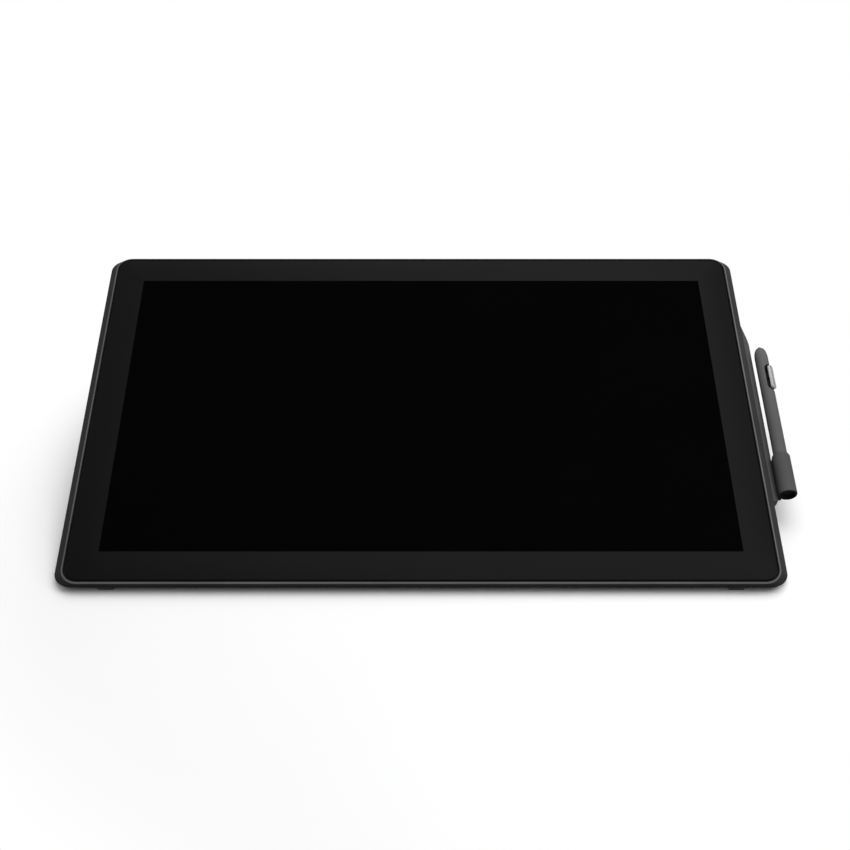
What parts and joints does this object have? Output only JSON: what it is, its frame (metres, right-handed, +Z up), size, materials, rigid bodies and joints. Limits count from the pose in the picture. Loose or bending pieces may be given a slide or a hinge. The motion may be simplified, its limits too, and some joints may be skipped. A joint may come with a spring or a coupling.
{
  "type": "pen display",
  "caption": "Drawing screen with a flush glass front, a wedge-shaped back, a folding stand with a release lever, and a pen that stands in a cup on its right side.",
  "frame": {"origin": "on the desk, under the middle of the object's bounding box", "axes": "+X to the user's right, +Y away from the user, +Z up"},
  "size_m": [0.6196, 0.3584, 0.1214],
  "materials": {
    "cover_glass": "satin, printed black behind",
    "adhesive": "matte",
    "frame_black": "fine satin",
    "cover_black": "fine grain",
    "clear_plastic": "clear",
    "cell_glass": "polished",
    "white_film": "matte white",
    "led_bar": "matte",
    "sheet_metal": "rolled",
    "circuit_board": "solder mask",
    "screw_steel": "blackened",
    "flat_cable": "satin film",
    "light_pipe": "frosted",
    "socket_plastic": "matte",
    "socket_metal": "plated",
    "rubber_black": "matte",
    "bracket_metal": "satin powder coat",
    "pin_steel": "ground",
    "leg_metal": "satin black coat",
    "washer_brass": "oiled",
    "lever_plastic": "satin",
    "brake_rubber": "matte",
    "key_plastic": "satin",
    "holder_plastic": "fine satin",
    "pen_plastic": "soft touch",
    "nib_plastic": "matte",
    "switch_silver": "silver paint"
  },
  "bodies": {
    "display": {"cover_glass": "cover_glass", "glass_tape": "adhesive", "front_frame": "frame_black", "rear_cover": "cover_black", "optical_bond": "clear_plastic", "lcd_cell": "cell_glass", "optical_sheets": "white_film", "light_guide": "clear_plastic", "led_bar": "led_bar", "reflector": "white_film", "panel_tray": "sheet_metal", "sensor_board": "circuit_board", "shield_foil": "sheet_metal", "chassis_plate": "sheet_metal", "main_board": "circuit_board", "power_board": "circuit_board", "controller_board": "circuit_board", "board_screws": "screw_steel", "panel_cable": "flat_cable", "sensor_cable": "flat_cable", "key_board": "circuit_board", "power_light": "light_pipe", "connector_tray": "cover_black", "power_inlet": "socket_plastic", "video_socket_upper": "socket_metal", "video_socket_lower": "socket_metal", "usb_socket": "socket_metal", "lock_plate": "socket_metal", "cover_screws": "screw_steel", "front_foot_left": "rubber_black", "front_foot_right": "rubber_black", "hinge_bracket_left": "bracket_metal", "hinge_bracket_right": "bracket_metal", "bracket_screws": "screw_steel", "lever_pin": "pin_steel", "lever_spring": "pin_steel", "holder_bracket": "holder_plastic", "holder_screws": "screw_steel", "pen_cup": "holder_plastic"},
    "stand": {"stand_leg": "leg_metal", "leg_pad": "rubber_black", "hinge_pins": "pin_steel", "pin_clips": "pin_steel", "friction_washers": "washer_brass"},
    "lever": {"release_lever": "lever_plastic", "brake_pad": "brake_rubber"},
    "power_button": {"power_key": "key_plastic"},
    "menu_button": {"menu_key": "key_plastic"},
    "up_button": {"up_key": "key_plastic"},
    "down_button": {"down_key": "key_plastic"},
    "source_button": {"source_key": "key_plastic"},
    "pen": {"pen_barrel": "pen_plastic", "pen_tip": "pen_plastic", "pen_tail": "pen_plastic", "pen_core": "white_film", "pen_coil": "washer_brass"},
    "nib": {"pen_nib": "nib_plastic"},
    "side_switch": {"pen_switch": "switch_silver"}
  },
  "joints": [
    {"name": "stand_fold", "type": "hinge", "parent": "display", "child": "stand", "pos_m": [-0.01045, 0.00722, 0.01291], "axis": [-1, 0, 0], "range_deg": [-18, 110]},
    {"name": "lever_squeeze", "type": "hinge", "parent": "display", "child": "lever", "pos_m": [0.092, 0.0269, 0.02351], "axis": [1, 0, 0], "range_deg": [0, 5], "stiffness_Nm_per_rad": 4},
    {"name": "power_press", "type": "slide", "parent": "display", "child": "power_button", "axis": [0, -0.9511, -0.309], "range_m": [0, 0.0006], "stiffness_N_per_m": 2000},
    {"name": "menu_press", "type": "slide", "parent": "display", "child": "menu_button", "axis": [0, -0.9511, -0.309], "range_m": [0, 0.0006], "stiffness_N_per_m": 2000},
    {"name": "up_press", "type": "slide", "parent": "display", "child": "up_button", "axis": [0, -0.9511, -0.309], "range_m": [0, 0.0006], "stiffness_N_per_m": 2000},
    {"name": "down_press", "type": "slide", "parent": "display", "child": "down_button", "axis": [0, -0.9511, -0.309], "range_m": [0, 0.0006], "stiffness_N_per_m": 2000},
    {"name": "source_press", "type": "slide", "parent": "display", "child": "source_button", "axis": [0, -0.9511, -0.309], "range_m": [0, 0.0006], "stiffness_N_per_m": 2000},
    {"name": "pen_lift", "type": "slide", "parent": "display", "child": "pen", "axis": [0, 0.9511, 0.309], "range_m": [0, 0.05]},
    {"name": "nib_press", "type": "slide", "parent": "pen", "child": "nib", "axis": [0, -0.9511, -0.309], "range_m": [0, 0.0004], "stiffness_N_per_m": 2500},
    {"name": "switch_rock", "type": "hinge", "parent": "pen", "child": "side_switch", "pos_m": [0.30612, 0.02679, 0.07322], "axis": [-0.7193, -0.2147, 0.6607], "range_deg": [-2.5, 2.5], "stiffness_Nm_per_rad": 0.25}
  ]
}
